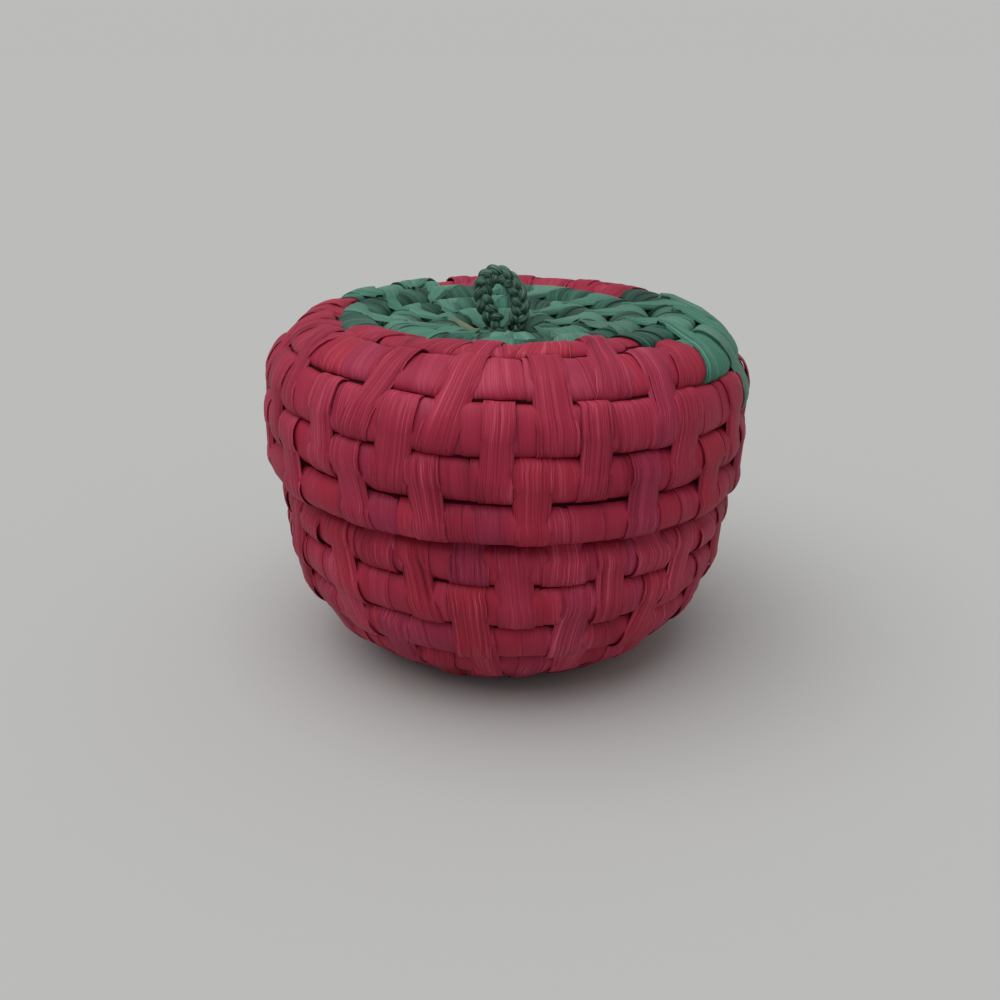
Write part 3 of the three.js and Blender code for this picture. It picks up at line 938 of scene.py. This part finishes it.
def knot_line(share):
    """A trefoil knot."""
    turn = TURN * share
    across = math.sin(turn) + 2 * math.sin(2 * turn)
    deep = math.cos(turn) - 2 * math.cos(2 * turn)
    up = -KNOT_DEPTH * math.sin(3 * turn)
    return Vector((0, 0, KNOT_HEIGHT)) + KNOT_SPREAD * Vector((across, deep, up))


def knot_skin(around, along):
    return round_line(knot_line, along, TURN * around, KNOT_STRAND, KNOT_STRAND)


def neck_line(share):
    return Vector((0, 0, KNOT_HEIGHT + (EYE_TOP - KNOT_HEIGHT) * share))


def neck_skin(around, along):
    radius = NECK_RADIUS * math.sqrt(1 - NECK_ROUNDING * along**NECK_SHARPNESS)
    return round_line(neck_line, along, TURN * around, radius, radius)


bm = bmesh.new()
tube(bm, KNOT_SIDES, KNOT_STEPS, knot_skin)
tube(bm, KNOT_SIDES, NECK_STEPS, neck_skin)
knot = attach(finished(bm, "knot", braid_leaf, KNOT_CREASE), "lid")
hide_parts("loop_knot")


# Loop on the lid. Three dark green strands are braided into a flat plait and bent into a loop, which
# leans over its foot.

LOOP_PIVOT_HEIGHT = 0.0692266
LOOP_MIDDLE = 0.0041
LOOP_HALF_WIDTH = 0.0037
LOOP_HALF_HEIGHT = 0.0053
LOOP_SWEEP = math.radians(152)
LOOP_LEAN = 0.2
BRAID_HALF_WIDTH = 0.00105
BRAID_HALF_DEPTH = 0.00075
BRAID_REPEATS = 4
STRANDS = 3
STRAND_HALF_WIDTH = 0.00095
STRAND_HALF_DEPTH = 0.00065
STRAND_SIDES = 10
STRAND_STEPS = 160
STRAND_CREASE = 60


def strand_line(phase):
    """The line of one strand of the plait."""

    def line(share):
        sweep = LOOP_SWEEP * (2 * share - 1)
        sin, cos = math.sin(sweep), math.cos(sweep)
        round_way = TURN * BRAID_REPEATS * share + phase
        out = Vector((LOOP_HALF_HEIGHT * sin, 0, LOOP_HALF_WIDTH * cos)).normalized()
        middle = Vector((LOOP_HALF_WIDTH * sin, 0, LOOP_HALF_HEIGHT * cos))
        middle += BRAID_HALF_WIDTH * math.sin(round_way) * out
        middle.y = BRAID_HALF_DEPTH * math.sin(2 * round_way)
        middle.x -= LOOP_LEAN * (middle.z + LOOP_MIDDLE)
        return middle + Vector((0, 0, LOOP_PIVOT_HEIGHT + LOOP_MIDDLE))

    return line


def strand_mesh(phase):
    line = strand_line(phase)

    def skin(around, along):
        return round_line(line, along, TURN * around, STRAND_HALF_WIDTH, STRAND_HALF_DEPTH)

    bm = bmesh.new()
    tube(bm, STRAND_SIDES, STRAND_STEPS, skin)
    return bm


for i in range(STRANDS):
    bm = strand_mesh(TURN * i / STRANDS)
    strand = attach(finished(bm, f"braid_strand_{i + 1}", braid_leaf, STRAND_CREASE), "loop")
    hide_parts(f"loop_strand_{i + 1}")


# Floor, light and camera. The basket stands on a plain pale floor in a pale room, under a soft high light,
# and the camera looks down on its front.

FLOOR_SIZE = 40
FLOOR_CREASE = 30
FLOOR_COLOUR = (0.50, 0.505, 0.495)
ROOM_COLOUR = (0.497, 0.502, 0.492)
ROOM_LIGHT = 0.41
SUN_POWER = 1.95
SUN_TURN = (math.radians(11), math.radians(-14), 0)
SUN_SPREAD = math.radians(70)

bm = bmesh.new()
bmesh.ops.create_grid(bm, x_segments=1, y_segments=1, size=FLOOR_SIZE)
floor_material, floor_sockets, _ = material_of("floor", roughness=0.9, specular=0.1)
floor_sockets["Base Color"].default_value = (*FLOOR_COLOUR, 1)
finished(bm, "floor", floor_material, FLOOR_CREASE)

sun = bpy.data.lights.new("sun", "SUN")
sun.energy = SUN_POWER
sun.angle = SUN_SPREAD
sun_lamp = bpy.data.objects.new("sun", sun)
sun_lamp.rotation_euler = SUN_TURN
bpy.context.scene.collection.objects.link(sun_lamp)

world = bpy.data.worlds.new("room")
world.use_nodes = True
camera_ray = Shade(world.node_tree).node("LightPath", output="Is Camera Ray")
room_colour = camera_ray.mixed((ROOM_LIGHT, ROOM_LIGHT, ROOM_LIGHT), ROOM_COLOUR)
room_colour.feed(world.node_tree.nodes["Background"].inputs["Color"])
bpy.context.scene.world = world
bpy.context.scene.view_settings.view_transform = "Standard"

CAMERA_PLACE = (-0.00119, -0.234, 0.1193)
CAMERA_PITCH = math.radians(20.98)
CAMERA_NEAREST = 0.01
FOCAL_SHARE = 1.15

camera_data = bpy.data.cameras.new("camera")
camera_data.lens = FOCAL_SHARE * camera_data.sensor_width
camera_data.clip_start = CAMERA_NEAREST
camera = bpy.data.objects.new("camera", camera_data)
camera.location = CAMERA_PLACE
camera.rotation_euler = (math.pi / 2 - CAMERA_PITCH, 0, 0)
bpy.context.scene.collection.objects.link(camera)
bpy.context.scene.camera = camera
